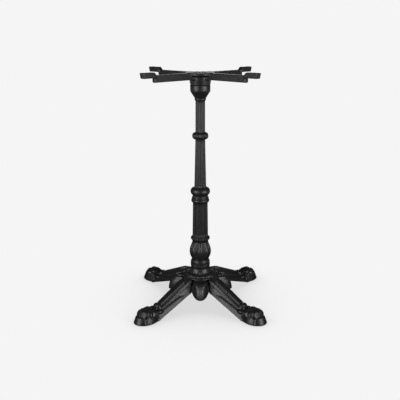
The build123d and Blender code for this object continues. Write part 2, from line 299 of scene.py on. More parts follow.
# Leg crown, a narrow ridge near the hub and flat and beaded further out
CROWN_WALL = 10.5
CROWN_W = 11.0
CROWN_DROP = 6.0
CROWN_DRAFT = 0.15
CROWN_FLATNESS = 3.0
CROWN_ROUND = 1.0
CROWN_TAPER = 0.15
TAPER_IN = (100.0, 185.0)
RIDGE_W = 4.0
RIDGE_DROP = (7.0, 10.5)
RIDGE_OUT = (54.0, 84.0)
BEAD_PITCH = 12.5
BEAD_RISE = 0.9
BEAD_FADE = 20.0

# Leg sides from the crown down: leaf band, sloping panel, groove and roll
BAND_TOP_W = 13.8
BAND_TOP_DROP = 11.0
BAND_EDGE_W = 19.0
BAND_EDGE_DROP = 19.0
BAND_STEP = 0.5
BAND_ROUND = 1.3
BAND_MARGIN = 2.0
RIM_RELIEF = 0.9
RIM_W = 1.2
RIM_IN = (58.0, 66.0)
RIM_OUT = (90.0, 120.0)
LEAF_PITCH = 8.0
LEAF_SLANT = 1.1
LEAF_RELIEF = 0.5
LEAF_IN = (80.0, 100.0)
PANEL_W = BAND_EDGE_W - BAND_STEP
PANEL_HOLLOW = 0.5
GROOVE_START = 92.0
GROOVE_FULL = 114.0
GROOVE_DEPTH = 2.0
GROOVE_LIFT = 1.0
GROOVE_W = 1.0
ROLL_W = 25.0
ROLL_H = 9.0
ROLL_TOP_H = 13.0
ROLL_LIP = 1.2
ROLL_ROUND = 1.1
ROLL_CREEP = 0.04

# Strip that runs up a leg beside a tongue and ends in a curl
STRIP_GAP = 3.5
STRIP_W = 1.6
STRIP_RELIEF = 1.6
STRIP_IN = (6.0, 10.0)
CURL_DROP = 8.0
CURL_RELIEF = 1.4
CURL_EDGE = (2.5, 5.0)

# Base paw feet
SOLE_MID = 226.0
PAW_TIP = 267.0
PAW_FILLET = 1.5
SOLE_H = 21.0
SOLE_DRAFT = 6.5
SOLE_HALF_W = 32.5
SOLE_LAP = 1.0
SOLE_ROUND = 1.5
SOLE_DIP = 3.5
SOLE_DIP_W = 0.22
SOLE_FILLET = 0.4
HEEL_HALF_W = 29.5
CREASE_TURN = 0.96
CREASE_W = 0.05
CREASE_DEPTH = 1.4
CREASE_IN = (2.0, 8.0)
TOE_SLOPE = 0.5
TOE_EDGE = 2.5
TOE_FOOT = 2.0
DOME_FILLET = 2.0
HEEL_FILLET = 0.8

# Toes and swellings of a paw, placed ahead of the sole's middle, to the side and up
FRONT_TOE = dict(
    knuckle=(-10.0, 5.5, 26.0), tip=(18.0, 9.5, 26.0), radius=14.0, tip_radius=11.0, turn=0.15, face=3.0)
OUTER_TOE = dict(
    knuckle=(-9.0, 10.0, 24.0), tip=(6.0, 19.0, 25.0), radius=11.5, tip_radius=9.5, turn=0.9, face=4.0)
INNER_TOE = dict(
    knuckle=(-16.0, 13.0, 21.0), tip=(-9.0, 20.5, 23.5), radius=9.0, tip_radius=8.5, turn=1.3, face=4.0)
PAW_DOME = dict(centre=(-7.0, 0.0, 25.0), radii=(17.0, 17.0, 18.0))
HEEL_PAD = dict(centre=(-24.0, 0.0, 21.0), radii=(12.0, 22.0, 11.0))
ANKLE_BUD = dict(centre=(-44.0, 2.0, 29.5), radii=(10.5, 13.0, 13.0))
ANKLE_CUFF = dict(centre=(-38.0, 19.0, 22.0), radii=(12.0, 7.0, 6.5))

# Base hanging tongues, each joined to the hub by a web
TONGUE_AXIS = 56.0
TONGUE_REACH = 45.8
TONGUE_ROOT = 10.0
TONGUE_TOP_Z = 80.0
TONGUE_RISE = 4.0
TONGUE_DROP = 45.0
TONGUE_TIP_Z = TONGUE_TOP_Z - TONGUE_DROP
TONGUE_WALL = 7.0
TONGUE_HALF_W = 27.5
TONGUE_WAIST = 0.5
TONGUE_TIP_W = 4.0
TONGUE_FLATNESS = 1.7
TONGUE_EDGE = 1.0
TONGUE_SIDE_ROUND = 2.0
TONGUE_FILLET = 1.5
HOOD_RISE = 1.5
HOOD_ROUND = 3.0
WEB_W = 16.0
WEB_T = 9.0
WEB_LAP = 4.5
WEB_FILLET = 3.0

# Carving on a tongue, its fine side veins in turns per millimetre
FRONT_IN = (8.0, 20.0)
VEIN_W = 1.5
VEIN_DEPTH = 2.0
RIB_PITCH = 0.8
RIB_RELIEF = 0.3
RIBS_IN = (3.0, 14.0)
EAR_SIDE = 14.0
EAR_Z = 76.5
EAR_RELIEF = 1.8
EAR_EDGE = (2.0, 6.5)
SIDE_VEINS_OUT = 0.08
SIDE_VEINS_UP = 0.05
SIDE_VEIN_RELIEF = 0.35

# Spider hub: bell, plate and well
TAB_STEP = 8.0
SPIDER_TOP = SPIDER_HEAD - TAB_STEP
PLATE_R = 43.9
PLATE_T = 9.0
PLATE_LIP = 3.0
PLATE_EDGE = 1.0
PLATE_ROUND = 1.6
BELL_R = 32.6
BELL_TAPER = 0.6
BELL_EDGE = 1.0
COVE_DROP = 2.5
WELL_R = 18.0
WELL_DEPTH = 16.5
WELL_ROUND = 1.0

# Spider arms and their raised screw tabs
ARM_H = 20.0
ARM_ROOT_W = 9.0
ARM_END_W = 6.0
ARM_END = 179.0
ARM_TOP_ROUND = 2.2
ARM_ROUND = 3.0
ARM_FILLET = 3.0
TAB_W = 8.1
TAB_T = 15.5
TAB_START = 172.0
TAB_END = 221.7
TAB_UNDERCUT = 3.5
TAB_TOP_ROUND = 1.6
TAB_FOOT_ROUND = 2.2
TAB_END_ROUND = 2.5
TAB_START_ROUND = 2.0
TAB_FILLET = 2.0
TAB_HOLE = 205.8
TAB_HOLE_R = 3.25

# Rod, nuts and washers
ROD_STEPS = 24
ROD_R = 5.95
ROD_CENTRE_R = 0.5
THREAD_PITCH = 1.75
THREAD_DEPTH = 0.55
THREAD_L = 36.0
THREAD_ROWS = 6
NUT_STEPS = 72
NUT_FLATS = 19.0
NUT_H = 10.0
NUT_GAP = 0.1
NUT_CORNER = 0.2
NUT_CHAMFER = 0.8
WASHER_STEPS = 64
WASHER_R = 15.0
WASHER_T = 3.0
WASHER_GAP = 0.35
WASHER_EDGE = 0.4


# Mesh helpers

def new_object(name, data):
    """Object in the scene from its data."""
    obj = bpy.data.objects.new(name, data)
    bpy.context.scene.collection.objects.link(obj)
    return obj


def mesh_object(name, points, faces):
    """Object from points in millimetres and faces, smooth shaded."""
    mesh = bpy.data.meshes.new(name)
    mesh.from_pydata((np.asarray(points) * MM).tolist(), [], np.asarray(faces).tolist())
    mesh.validate()
    mesh.shade_smooth()
    return new_object(name, mesh)


def round_angles(steps):
    """Angles of even steps round an axis, as one row."""
    return np.linspace(0, 2 * np.pi, steps, endpoint=False)[None, :]


def ring_faces(rows, columns):
    """Quads of a grid that closes on itself both ways."""
    i, j = np.meshgrid(np.arange(rows), np.arange(columns), indexing="ij")
    k = (i + 1) % rows
    m = (j + 1) % columns
    quads = [i * columns + j, i * columns + m, k * columns + m, k * columns + j]
    return np.stack(quads, axis=-1).reshape(-1, 4)


def turned(radii, heights, angles):
    """Points and faces of a closed turned piece, its rows going up outside and down inside."""
    x = radii * np.cos(angles)
    y = radii * np.sin(angles)
    z = np.broadcast_to(heights[:, None], radii.shape)
    return np.stack([x, y, z], axis=-1).reshape(-1, 3), ring_faces(*radii.shape)


def together(pieces):
    """Points and faces of several pieces as one."""
    points = [p for p, f in pieces]
    shifts = np.cumsum([0] + [len(p) for p in points])
    return np.concatenate(points), np.concatenate([f + n for (p, f), n in zip(pieces, shifts)])


def blend_min(a, b, k):
    """Smaller of two fields with a fillet of about k where they meet."""
    h = np.clip(0.5 + 0.5 * (b - a) / k, 0, 1)
    return b * (1 - h) + a * h - k * h * (1 - h)


def blend_max(a, b, k):
    """Larger of two fields with a round edge of about k where they meet."""
    return -blend_min(-a, -b, k)


def smooth(x, low, high):
    """Smooth step from 0 at low to 1 at high."""
    t = np.clip((x - low) / (high - low), 0, 1)
    return t * t * (3 - 2 * t)


def bump(x, centre, width):
    """Bell curve of height 1."""
    return np.exp(-(((x - centre) / width) ** 2))


def quarter_grid(reach, low, high, step):
    """Sample places of one quarter, half a step past both mirror planes and a margin past the rest."""
    side = (np.arange(int(reach / step) + 1 + GRID_MARGIN) - 0.5) * step
    up = low + (np.arange(int((high - low) / step) + 1 + 2 * GRID_MARGIN) - GRID_MARGIN) * step
    return side[:, None, None], side[None, :, None], up[None, None, :]


def surface_net(field, x, y, z):
    """Points and quads over the zero level of a sampled field."""
    corners = [(i, j, k) for i in (0, 1) for j in (0, 1) for k in (0, 1)]
    nx, ny, nz = field.shape
    inside = field < 0
    count = np.zeros((nx - 1, ny - 1, nz - 1), np.uint8)
    for i, j, k in corners:
        count += inside[i:nx - 1 + i, j:ny - 1 + j, k:nz - 1 + k]
    cells = np.argwhere((count > 0) & (count < len(corners)))
    values = np.stack([field[tuple((cells + c).T)] for c in corners], axis=-1)
    total = np.zeros((len(cells), 3))
    hits = np.zeros(len(cells))
    for a, ca in enumerate(corners):
        for b, cb in enumerate(corners):
            if a < b and sum(abs(p - q) for p, q in zip(ca, cb)) == 1:
                crossed = (values[:, a] < 0) != (values[:, b] < 0)
                t = values[crossed, a] / (values[crossed, a] - values[crossed, b])
                total[crossed] += np.array(ca) + t[:, None] * (np.array(cb) - np.array(ca))
                hits[crossed] += 1
    spot = cells + total / hits[:, None]
    step = np.array([x.flat[1] - x.flat[0], y.flat[1] - y.flat[0], z.flat[1] - z.flat[0]])
    points = np.array([x.flat[0], y.flat[0], z.flat[0]]) + spot * step
    index = np.full(count.shape, -1, np.int64)
    index[tuple(cells.T)] = np.arange(len(cells))
    quads = []
    for axis in range(3):
        u, v = [d for d in range(3) if d != axis]
        one = np.eye(3, dtype=int)
        low = [slice(1, -1)] * 3
        low[axis] = slice(0, -1)
        high = list(low)
        high[axis] = slice(1, None)
        starts = inside[tuple(low)]
        change = starts != inside[tuple(high)]
        nodes = np.argwhere(change) + 1 - one[axis]
        outward = starts[change] == (axis != 1)
        ring = [nodes - one[u] - one[v], nodes - one[v], nodes, nodes - one[u]]
        ids = np.stack([index[tuple(r.T)] for r in ring], axis=-1)
        ids[~outward] = ids[~outward][:, ::-1]
        quads.append(ids)
    return points, np.concatenate(quads)


def four_quarters(points, quads):
    """One quarter repeated round the axis, with the seams welded."""
    x, y, z = points.T
    turns = [(x, y), (-y, x), (-x, -y), (y, -x)]
    every = np.concatenate([np.stack([a, b, z], axis=-1) for a, b in turns])
    faces = np.concatenate([quads + i * len(points) for i in range(len(turns))])
    spots = np.round(every, WELD_DIGITS)
    first, where = np.unique(spots, axis=0, return_index=True, return_inverse=True)[1:]
    return every[first], where.reshape(-1)[faces]


def slimmed(obj, triangles):
    """The object with its flat stretches thinned out to about that many triangles."""
    modifier = obj.modifiers.new("slim", "DECIMATE")
    modifier.ratio = min(1.0, triangles / (2 * len(obj.data.polygons)))
    view = bpy.context.evaluated_depsgraph_get()
    mesh = bpy.data.meshes.new_from_object(obj.evaluated_get(view))
    for vertex in mesh.vertices:
        vertex.co.z = max(vertex.co.z, 0.0)
    obj.modifiers.clear()
    obj.data = mesh
    mesh.shade_smooth()
    return obj


def carved_object(name, field, grid, triangles):
    """Four-fold object over the zero level of a field sampled on one quarter."""
    return slimmed(mesh_object(name, *four_quarters(*surface_net(field, *grid))), triangles)


def stand_for(obj, node, material):
    """The piece stands for a node and finish."""
    obj.data.materials.clear()
    obj.data.materials.append(material)
    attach(obj, "root")
    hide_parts(node)


# Materials

def new_material(name):
    """Material with its node tree, links, shader and object coordinates."""
    material = bpy.data.materials.new(name)
    material.use_nodes = True
    tree = material.node_tree
    shader = tree.nodes["Principled BSDF"]
    place = tree.nodes.new("ShaderNodeTexCoord").outputs["Object"]
    return material, tree, shader, place


def noise(tree, place, scale, detail):
    """Noise of a scale per metre."""
    node = tree.nodes.new("ShaderNodeTexNoise")
    node.inputs["Scale"].default_value = scale
    node.inputs["Detail"].default_value = detail
    tree.links.new(place, node.inputs["Vector"])
    return node.outputs["Fac"]


def ranged(tree, value, low, high, to_low, to_high):
    """Value carried from one range to another."""
    node = tree.nodes.new("ShaderNodeMapRange")
    tree.links.new(value, node.inputs["Value"])
    for name, number in zip(("From Min", "From Max", "To Min", "To Max"), (low, high, to_low, to_high)):
        node.inputs[name].default_value = number
    return node.outputs["Result"]


def tinted(tree, factor, first, second):
    """Colour between two colours."""
    node = tree.nodes.new("ShaderNodeMix")
    node.data_type = "RGBA"
    tree.links.new(factor, node.inputs["Factor"])
    node.inputs["A"].default_value = (*first, 1)
    node.inputs["B"].default_value = (*second, 1)
    return node.outputs["Result"]


def bumped(tree, shader, height, strength, distance):
    """Surface relief from a height."""
    node = tree.nodes.new("ShaderNodeBump")
    node.inputs["Strength"].default_value = strength
    node.inputs["Distance"].default_value = distance
    tree.links.new(height, node.inputs["Height"])
    tree.links.new(node.outputs["Normal"], shader.inputs["Normal"])


def black_iron():
    """Satin black coat over sand-cast iron."""
    material, tree, shader, place = new_material("black_iron")
    patch = ranged(tree, noise(tree, place, *IRON_PATCHES), *NOISE_RANGE, 0, 1)
    tree.links.new(tinted(tree, patch, IRON_DARK, IRON_PALE), shader.inputs["Base Color"])
    gloss = ranged(tree, noise(tree, place, *IRON_GLOSS), *IRON_GLOSS_RANGE, *IRON_ROUGHNESS)
    tree.links.new(gloss, shader.inputs["Roughness"])
    shader.inputs["Specular IOR Level"].default_value = IRON_SPECULAR
    bumped(tree, shader, noise(tree, place, *IRON_GRAIN), *IRON_GRAIN_RELIEF)
    return material


def steel():
    """Dull zinc-coated steel."""
    material, tree, shader, place = new_material("steel")
    patch = ranged(tree, noise(tree, place, *STEEL_PATCHES), *NOISE_RANGE, 0, 1)
    tree.links.new(tinted(tree, patch, STEEL_DARK, STEEL_PALE), shader.inputs["Base Color"])
    shader.inputs["Metallic"].default_value = 1.0
    gloss = ranged(tree, noise(tree, place, *STEEL_GLOSS), *NOISE_RANGE, *STEEL_ROUGHNESS)
    tree.links.new(gloss, shader.inputs["Roughness"])
    bumped(tree, shader, noise(tree, place, *STEEL_GRAIN), *STEEL_GRAIN_RELIEF)
    return material


# Column: a stretch is its radii and heights, and a carving gives the radii round it

def line(r_foot, foot, r_top, top, rows=1):
    """Straight stretch of a profile, without its last point."""
    t = np.linspace(0, 1, rows, endpoint=False)
    return r_foot + (r_top - r_foot) * t, foot + (top - foot) * t


def moulding(foot, r, tube, r_below, r_above, rows):
    """Round moulding from the radius below it to the radius above it, and its top height."""
    start = -math.acos(1 - (r - r_below) / tube)
    end = math.acos(1 - (r - r_above) / tube)
    a = np.linspace(start, end, rows, endpoint=False)
    middle = foot - tube * math.sin(start)
    return (r - tube * (1 - np.cos(a)), middle + tube * np.sin(a)), middle + tube * math.sin(end)


def shaft(foot, top, r_foot, r_top):
    """Tapering shaft, its rows closer together near both ends."""
    t = np.sin(np.linspace(-np.pi / 2, np.pi / 2, SHAFT_ROWS, endpoint=False)) / 2 + 0.5
    return r_foot + (r_top - r_foot) * t, foot + (top - foot) * t


def ovolo_profile():
    """Round top of the collar, drawing in to the neck under the bulb."""
    t = np.linspace(0, 1, OVOLO_ROWS, endpoint=False)
    full = COLLAR_R - COLLAR_ROUND_R - FOOT_NECK_R
    return FOOT_NECK_R + full * np.sqrt(1 - t**OVOLO_FULLNESS), COLLAR_TOP + OVOLO_H * t


def bulb_profile():
    """Smooth side line of the bulb: a quarter round below its widest place, slimmer above."""
    t = np.linspace(0, 1, BULB_ROWS, endpoint=False)
    r = FOOT_NECK_R + (RUFF_NECK_R - FOOT_NECK_R) * smooth(t, 0, 1)
    below = np.sqrt(np.clip(1 - (1 - t / BULB_WIDEST) ** 2, 0, 1))
    above = np.cos(np.pi / 2 * np.clip(t - BULB_WIDEST, 0, 1) / (1 - BULB_WIDEST)) ** BULB_SLIMNESS
    return r + BULB_SWELL * np.where(t < BULB_WIDEST, below, above), BULB_FOOT + BULB_H * t


def ruff_profile():
    """Side line of the ruff: flaring out to a thin edge, then sloping back to the shaft."""
    edge = RUFF_FOOT + RUFF_EDGE * RUFF_H
    z = np.linspace(RUFF_FOOT, LOWER_FOOT, RUFF_ROWS, endpoint=False)
    out = np.clip((z - RUFF_FOOT) / (edge - RUFF_FOOT), 0, 1)
    back = np.clip((LOWER_FOOT - z) / (LOWER_FOOT - edge), 0, 1)
    below = RUFF_NECK_R + (RUFF_R - RUFF_NECK_R) * out**RUFF_FLARE
    above = LOWER_R + (RUFF_R - LOWER_R) * back**RUFF_SLOPE
    return np.where(z < edge, below, above), z


def share_up(heights):
    """Heights as shares of their whole run, one row each."""
    return ((heights - heights.min()) / np.ptp(heights))[:, None]


def plain(angles, heights, radii):
    """Radii of a plain turned stretch."""
    return radii[:, None] + 0 * angles


def flutes(angles, heights, radii, count, fade):
    """Radii of a shaft with hollow flutes that run out round at both ends."""
    f = (angles * count / (2 * np.pi)) % 1.0
    across = (f - 0.5) / (0.5 - FLUTE_LAND)
    hollow = np.sqrt(np.clip(1 - across**2, 0, 1))
    end = np.minimum(heights - heights.min(), heights.max() - heights) / fade
    run = np.sqrt(1 - (1 - np.clip(end, 0, 1)) ** 2)
    return radii[:, None] - FLUTE_SINK * radii[:, None] * hollow * run[:, None]


def lobes(angles, heights, radii, count, depth):
    """Radii of a moulding with round lobes that fade at its ends."""
    swell = np.sin(np.pi * share_up(heights)) ** LOBE_FULLNESS
    lobe = np.abs(np.sin(count * angles / 2))
    return radii[:, None] - depth * swell * (1 - lobe)


def collar_relief(angles, heights, radii):
    """Radii of the collar: a shallow zigzag of pointed leaves."""
    t = share_up(heights)
    zigzag = 2 * np.abs(((angles * COLLAR_POINTS / (2 * np.pi)) % 1.0) - 0.5)
    edge = np.clip((t - ZIGZAG_FOOT - ZIGZAG_H * zigzag) / ZIGZAG_EDGE, -1, 1)
    window = smooth(t, *ZIGZAG_IN) * (1 - smooth(t, *ZIGZAG_OUT))
    return radii[:, None] - ZIGZAG_DEPTH * window * (1 + edge) / 2


def leaf_bulb(angles, heights, radii):
    """Radii of the bulb: leaves side by side, each with a midrib, two hollows and an arched line."""
    t = share_up(heights)
    turn = (angles + np.pi / 2) * BULB_LEAVES / (2 * np.pi)
    v = np.abs((turn + 0.5) % 1.0 - 0.5)
    cleft = bump(v, 0.5, CLEFT_W)
    hollow = bump(v, 0.25, HOLLOW_W)
    midrib = bump(v, 0, MIDRIB_W)
    spread = ARCH_SPREAD * np.sin(np.pi * np.clip(t / ARCH_TOP, 0, 1)) ** ARCH_FULLNESS
    arch = bump(v, spread, ARCH_W) * smooth(t, *ARCH_IN)
    relief = MIDRIB_RISE * midrib - CLEFT_DEPTH * cleft - HOLLOW_DEPTH * hollow - ARCH_DEPTH * arch
    return radii[:, None] + np.sqrt(np.sin(np.pi * t)) * relief


def column_foot():
    """Spigot, collar with its zigzag, round top, leaf bulb and ruff."""
    round_foot = COLLAR_TOP - COLLAR_ROUND_H
    return [
        (line(FOOT_CORE_R, COLUMN_FOOT, SPIGOT_R, COLUMN_FOOT), plain),
        (line(SPIGOT_R, COLUMN_FOOT, SPIGOT_R, BASE_TOP), plain),
        (line(SPIGOT_R, BASE_TOP, COLLAR_R - SEAM, BASE_TOP), plain),
        (line(COLLAR_R - SEAM, BASE_TOP, COLLAR_R, BASE_TOP + SEAM, EDGE_ROWS), plain),
        (line(COLLAR_R, BASE_TOP + SEAM, COLLAR_R, round_foot, COLLAR_ROWS), collar_relief),
        (line(COLLAR_R, round_foot, COLLAR_R - COLLAR_ROUND_R, COLLAR_TOP, EDGE_ROWS), plain),
        (ovolo_profile(), plain),
        (bulb_profile(), leaf_bulb),
        (ruff_profile(), lobes, RUFF_LOBES, RUFF_LOBE_DEPTH),
    ]


def column_shafts():
    """Lower shaft, lip, bead and ring, middle shaft, knop and upper shaft."""
    lip, lip_top = moulding(LIP_FOOT, LIP_R, LIP_TUBE, LOWER_TOP_R, RING_NECK_R + LIP_STEP, LIP_ROWS)
    bead_r = RING_NECK_R + BEAD_TUBE
    bead, bead_top = moulding(lip_top, bead_r, BEAD_TUBE, RING_NECK_R + BEAD_STEP, RING_NECK_R, BEAD_ROWS)
    ring, ring_top = moulding(RING_FOOT, RING_R, RING_TUBE, RING_NECK_R, MIDDLE_R, RING_ROWS)
    knop_foot = ring_top + MIDDLE_L
    knop, knop_top = moulding(knop_foot, KNOP_R, KNOP_TUBE, MIDDLE_TOP_R, UPPER_R, KNOP_ROWS)
    return [
        (shaft(LOWER_FOOT, LIP_FOOT, LOWER_R, LOWER_TOP_R), flutes, LOWER_FLUTES, LOWER_FLUTE_END),
        (lip, plain),
        (bead, plain),
        (line(RING_NECK_R, bead_top, RING_NECK_R, RING_FOOT, EDGE_ROWS), plain),
        (ring, plain),
        (shaft(ring_top, knop_foot, MIDDLE_R, MIDDLE_TOP_R), flutes, UPPER_FLUTES, UPPER_FLUTE_END),
        (knop, lobes, KNOP_LOBES, KNOP_LOBE_DEPTH),
        (shaft(knop_top, FLARE_FOOT, UPPER_R, UPPER_TOP_R), flutes, UPPER_FLUTES, UPPER_FLUTE_END),
    ]


def column_head():
    """Astragal, cone and capital, and the spigot in the spider."""
    ends = (ASTRAGAL_FOOT_R, ASTRAGAL_TOP_R)
    bead, bead_top = moulding(ASTRAGAL_FOOT, ASTRAGAL_R, ASTRAGAL_TUBE, *ends, ASTRAGAL_ROWS)
    edge_r = CAPITAL_R - CAPITAL_EDGE
    lip_z = CAPITAL_FOOT - CAPITAL_LIP
    band_foot = CAPITAL_FOOT + CAPITAL_EDGE
    band_top = SPIDER_FOOT - CAPITAL_EDGE
    return [
        (line(UPPER_TOP_R, FLARE_FOOT, ASTRAGAL_FOOT_R, ASTRAGAL_FOOT, EDGE_ROWS), plain),
        (bead, plain),
        (line(ASTRAGAL_TOP_R, bead_top, CONE_FOOT_R, ASTRAGAL_TOP, TIP_ROWS), plain),
        (line(CONE_FOOT_R, ASTRAGAL_TOP, edge_r, lip_z, CONE_ROWS), plain),
        (line(edge_r, lip_z, CAPITAL_R, band_foot, EDGE_ROWS), plain),
        (line(CAPITAL_R, band_foot, CAPITAL_R, band_top, BAND_ROWS), plain),
        (line(CAPITAL_R, band_top, edge_r, SPIDER_FOOT, TIP_ROWS), plain),
        (line(edge_r, SPIDER_FOOT, SPIGOT_R, SPIDER_FOOT), plain),
        (line(SPIGOT_R, SPIDER_FOOT, SPIGOT_R, COLUMN_HEAD), plain),
    ]


def column_core():
    """Way back down inside the hollow column, wider in its foot."""
    return [
        (line(SPIGOT_R, COLUMN_HEAD, CORE_R, COLUMN_HEAD), plain),
        (line(CORE_R, COLUMN_HEAD, CORE_R, LIP_FOOT), plain),
        (line(CORE_R, LIP_FOOT, FOOT_CORE_R, LIP_FOOT), plain),
        (line(FOOT_CORE_R, LIP_FOOT, FOOT_CORE_R, COLUMN_FOOT), plain),
    ]


def column_rows():
    """Radii, heights and angles of the whole column, going up outside and down the core."""
    angles = round_angles(COLUMN_STEPS)
    stretches = column_foot() + column_shafts() + column_head() + column_core()
    radii = [carve(angles, z, r, *sizes) for (r, z), carve, *sizes in stretches]
    heights = [z for (r, z), *carving in stretches]
    return np.concatenate(radii), np.concatenate(heights), angles


# Base casting

def on_diagonal(x, y, z):
    """Distances along and beside the diagonal, heights and radii of all sample places."""
    rho = (x + y) / math.sqrt(2) + 0 * z
    side = np.abs(y - x) / math.sqrt(2) + 0 * z
    return rho, side, z + 0 * x + 0 * y, np.sqrt(x**2 + y**2) + 0 * z


def leg_lines(rho):
    """Heights of a leg's crown and lower edge along it."""
    t = (rho - LEG_ROOT) / (LEG_HEEL - LEG_ROOT)
    top = LEG_ROOT_TOP + (LEG_HEEL_TOP - LEG_ROOT_TOP) * t
    top = top - ROOT_DIP * np.clip(ROOT_DIP_START - rho, 0, None) ** 2
    foot = LEG_ROOT_FOOT + (LEG_HEEL_FOOT - LEG_ROOT_FOOT) * t
    return top, foot


def crown_width(rho, depth):
    """Half width of a leg's flat crown at a depth below its top, a narrow ridge near the hub."""
    n = CROWN_FLATNESS
    share = 1 - np.clip(depth, 0, CROWN_DROP) / CROWN_DROP
    flat = CROWN_W * (1 - share**n) ** (1 / n) * (1 - CROWN_TAPER * smooth(rho, *TAPER_IN))
    ridge = RIDGE_W * np.sqrt(np.clip(depth / RIDGE_W, 0, 1))
    ridge = ridge + (CROWN_W - RIDGE_W) * smooth(depth, *RIDGE_DROP)
    return ridge + (flat - ridge) * smooth(rho, *RIDGE_OUT)


def band_relief(rho, depth, band_top, band_foot):
    """Carving of a leg's band: a raised rim along its top near the hub and slanting leaves further out."""
    rim = bump(depth, band_top + RIM_W, RIM_W) * smooth(rho, *RIM_IN) * (1 - smooth(rho, *RIM_OUT))
    leaf = np.abs(np.sin(np.pi * (rho + LEAF_SLANT * depth) / LEAF_PITCH))
    on_band = smooth(depth, band_top + BAND_MARGIN, band_top + 2 * BAND_MARGIN)
    on_band = on_band * (1 - smooth(depth, band_foot - BAND_MARGIN, band_foot))
    return RIM_RELIEF * rim + LEAF_RELIEF * (leaf - 0.5) * on_band * smooth(rho, *LEAF_IN)


def leg_width(rho, depth, lift, height):
    """Half width of a leg: crown, leaf band, sloping panel, groove and roll, from the top down."""
    scale = height / (LEG_ROOT_TOP - LEG_ROOT_FOOT)
    band_top = BAND_TOP_DROP * scale
    band_foot = BAND_EDGE_DROP * scale
    down_band = np.clip((depth - band_top) / (band_foot - band_top), 0, 1)
    band = BAND_TOP_W + (BAND_EDGE_W - BAND_TOP_W) * down_band
    panel_h = height - band_foot - BAND_STEP - ROLL_H
    down_panel = np.clip((depth - band_foot - BAND_STEP) / panel_h, 0, 1)
    panel = PANEL_W + (ROLL_W - PANEL_W) * down_panel - PANEL_HOLLOW * np.sin(np.pi * down_panel)
    outer = smooth(rho, GROOVE_START, GROOVE_FULL)
    roll_h = ROLL_H + (ROLL_TOP_H - ROLL_H) * outer + ROLL_CREEP * np.clip(rho - GROOVE_FULL, 0, None)
    down_shelf = np.clip((height - roll_h - band_foot - BAND_STEP) / panel_h, 0, 1)
    shelf = PANEL_W + (ROLL_W - PANEL_W) * down_shelf + ROLL_LIP * outer
    roll = shelf + (LEG_HALF_W - shelf) * (1 - np.clip(lift / roll_h, 0, 1) ** ROLL_ROUND)
    crown = crown_width(rho, depth) + CROWN_DRAFT * np.clip(depth - CROWN_DROP, 0, None)
    face = band + (panel - band) * smooth(depth, band_foot - BAND_ROUND, band_foot + BAND_ROUND)
    width = np.where(depth < band_top, crown, face)
    width = width - GROOVE_DEPTH * bump(lift, roll_h + GROOVE_LIFT, GROOVE_W) * outer
    width = np.where(lift < roll_h, np.maximum(roll, width), width)
    return width + band_relief(rho, depth, band_top, band_foot)


def strip_relief(rho, side, depth):
    """Raised strip on a leg beside a tongue, ending in a curl."""
    beside = (rho - side) / math.sqrt(2) - TONGUE_HALF_W - STRIP_GAP
    strip = bump(beside, 0, STRIP_W) * smooth(depth, *STRIP_IN)
    curl = np.sqrt(beside**2 + (depth - CURL_DROP) ** 2)
    return STRIP_RELIEF * strip + CURL_RELIEF * (1 - smooth(curl, *CURL_EDGE))


def leg_field(rho, side, z):
    """A leg with its crown, bands, panels and rolls, hollow underneath."""
    plain_top, foot = leg_lines(rho)
    beads = np.abs(np.sin(np.pi * rho / BEAD_PITCH)) * smooth(rho, LEG_START, LEG_START + BEAD_FADE)
    top = plain_top + BEAD_RISE * beads
    depth = top - z
    lift = z - foot
    width = leg_width(rho, depth, lift, top - foot) + strip_relief(rho, side, depth)
    leg = blend_max(SIDE_SCALE * (side - width), -FACE_SCALE * depth, CROWN_ROUND)
    leg = blend_max(leg, -FACE_SCALE * lift, LEG_FOOT_ROUND)
    leg = np.maximum(leg, np.maximum(LEG_START - rho, rho - LEG_HEEL - LEG_LAP))
    void_top = plain_top - CROWN_WALL
    void_slope = (LEG_HALF_W - CROWN_W) / (LEG_ROOT_TOP - LEG_ROOT_FOOT)
    void_width = CROWN_W - LEG_WALL + void_slope * (void_top - z)
    void = np.maximum(SIDE_SCALE * (side - void_width), z - void_top)
    void = np.maximum(void, np.maximum(LEG_ROOT + LEG_WALL - rho, rho - LEG_HEEL + LEG_WALL))
    return np.maximum(leg, -void)


def neck_field(rho, side, z):
    """The root that joins a leg to the hub."""
    depth = leg_lines(rho)[0] - z
    width = np.minimum(crown_width(rho, depth), LEG_NECK_W)
    neck = blend_max(NECK_SCALE * (side - width), -FACE_SCALE * depth, CROWN_ROUND)
    neck = np.maximum(neck, LEG_ROOT_FOOT - z)
    return np.maximum(neck, np.maximum(LEG_NECK_START - rho, rho - LEG_START - LEG_NECK_LAP))


def toe(place, knuckle, tip, radius, tip_radius, turn, face):
    """Round toe from knuckle to tip, its front cut to a sloping face that looks along a turn in plan."""
    run = [b - a for a, b in zip(knuckle, tip)]
    t = sum((p - a) * d for p, a, d in zip(place, knuckle, run)) / sum(d * d for d in run)
    t = np.clip(t, 0, 1)
    away = np.sqrt(sum((p - a - t * d) ** 2 for p, a, d in zip(place, knuckle, run)))
    ahead = (place[0] - tip[0]) * math.cos(turn) + (place[1] - tip[1]) * math.sin(turn)
    lean = TOE_SLOPE * (place[2] - tip[2])
    front = (ahead + lean - face) / math.hypot(1, TOE_SLOPE)
    return blend_max(away - (radius + (tip_radius - radius) * t), front, TOE_EDGE)


def ellipsoid(place, centre, radii):
    """Rough distance to an ellipsoid."""
    length = np.sqrt(sum(((p - c) / r) ** 2 for p, c, r in zip(place, centre, radii)))
    return (length - 1) * min(radii)


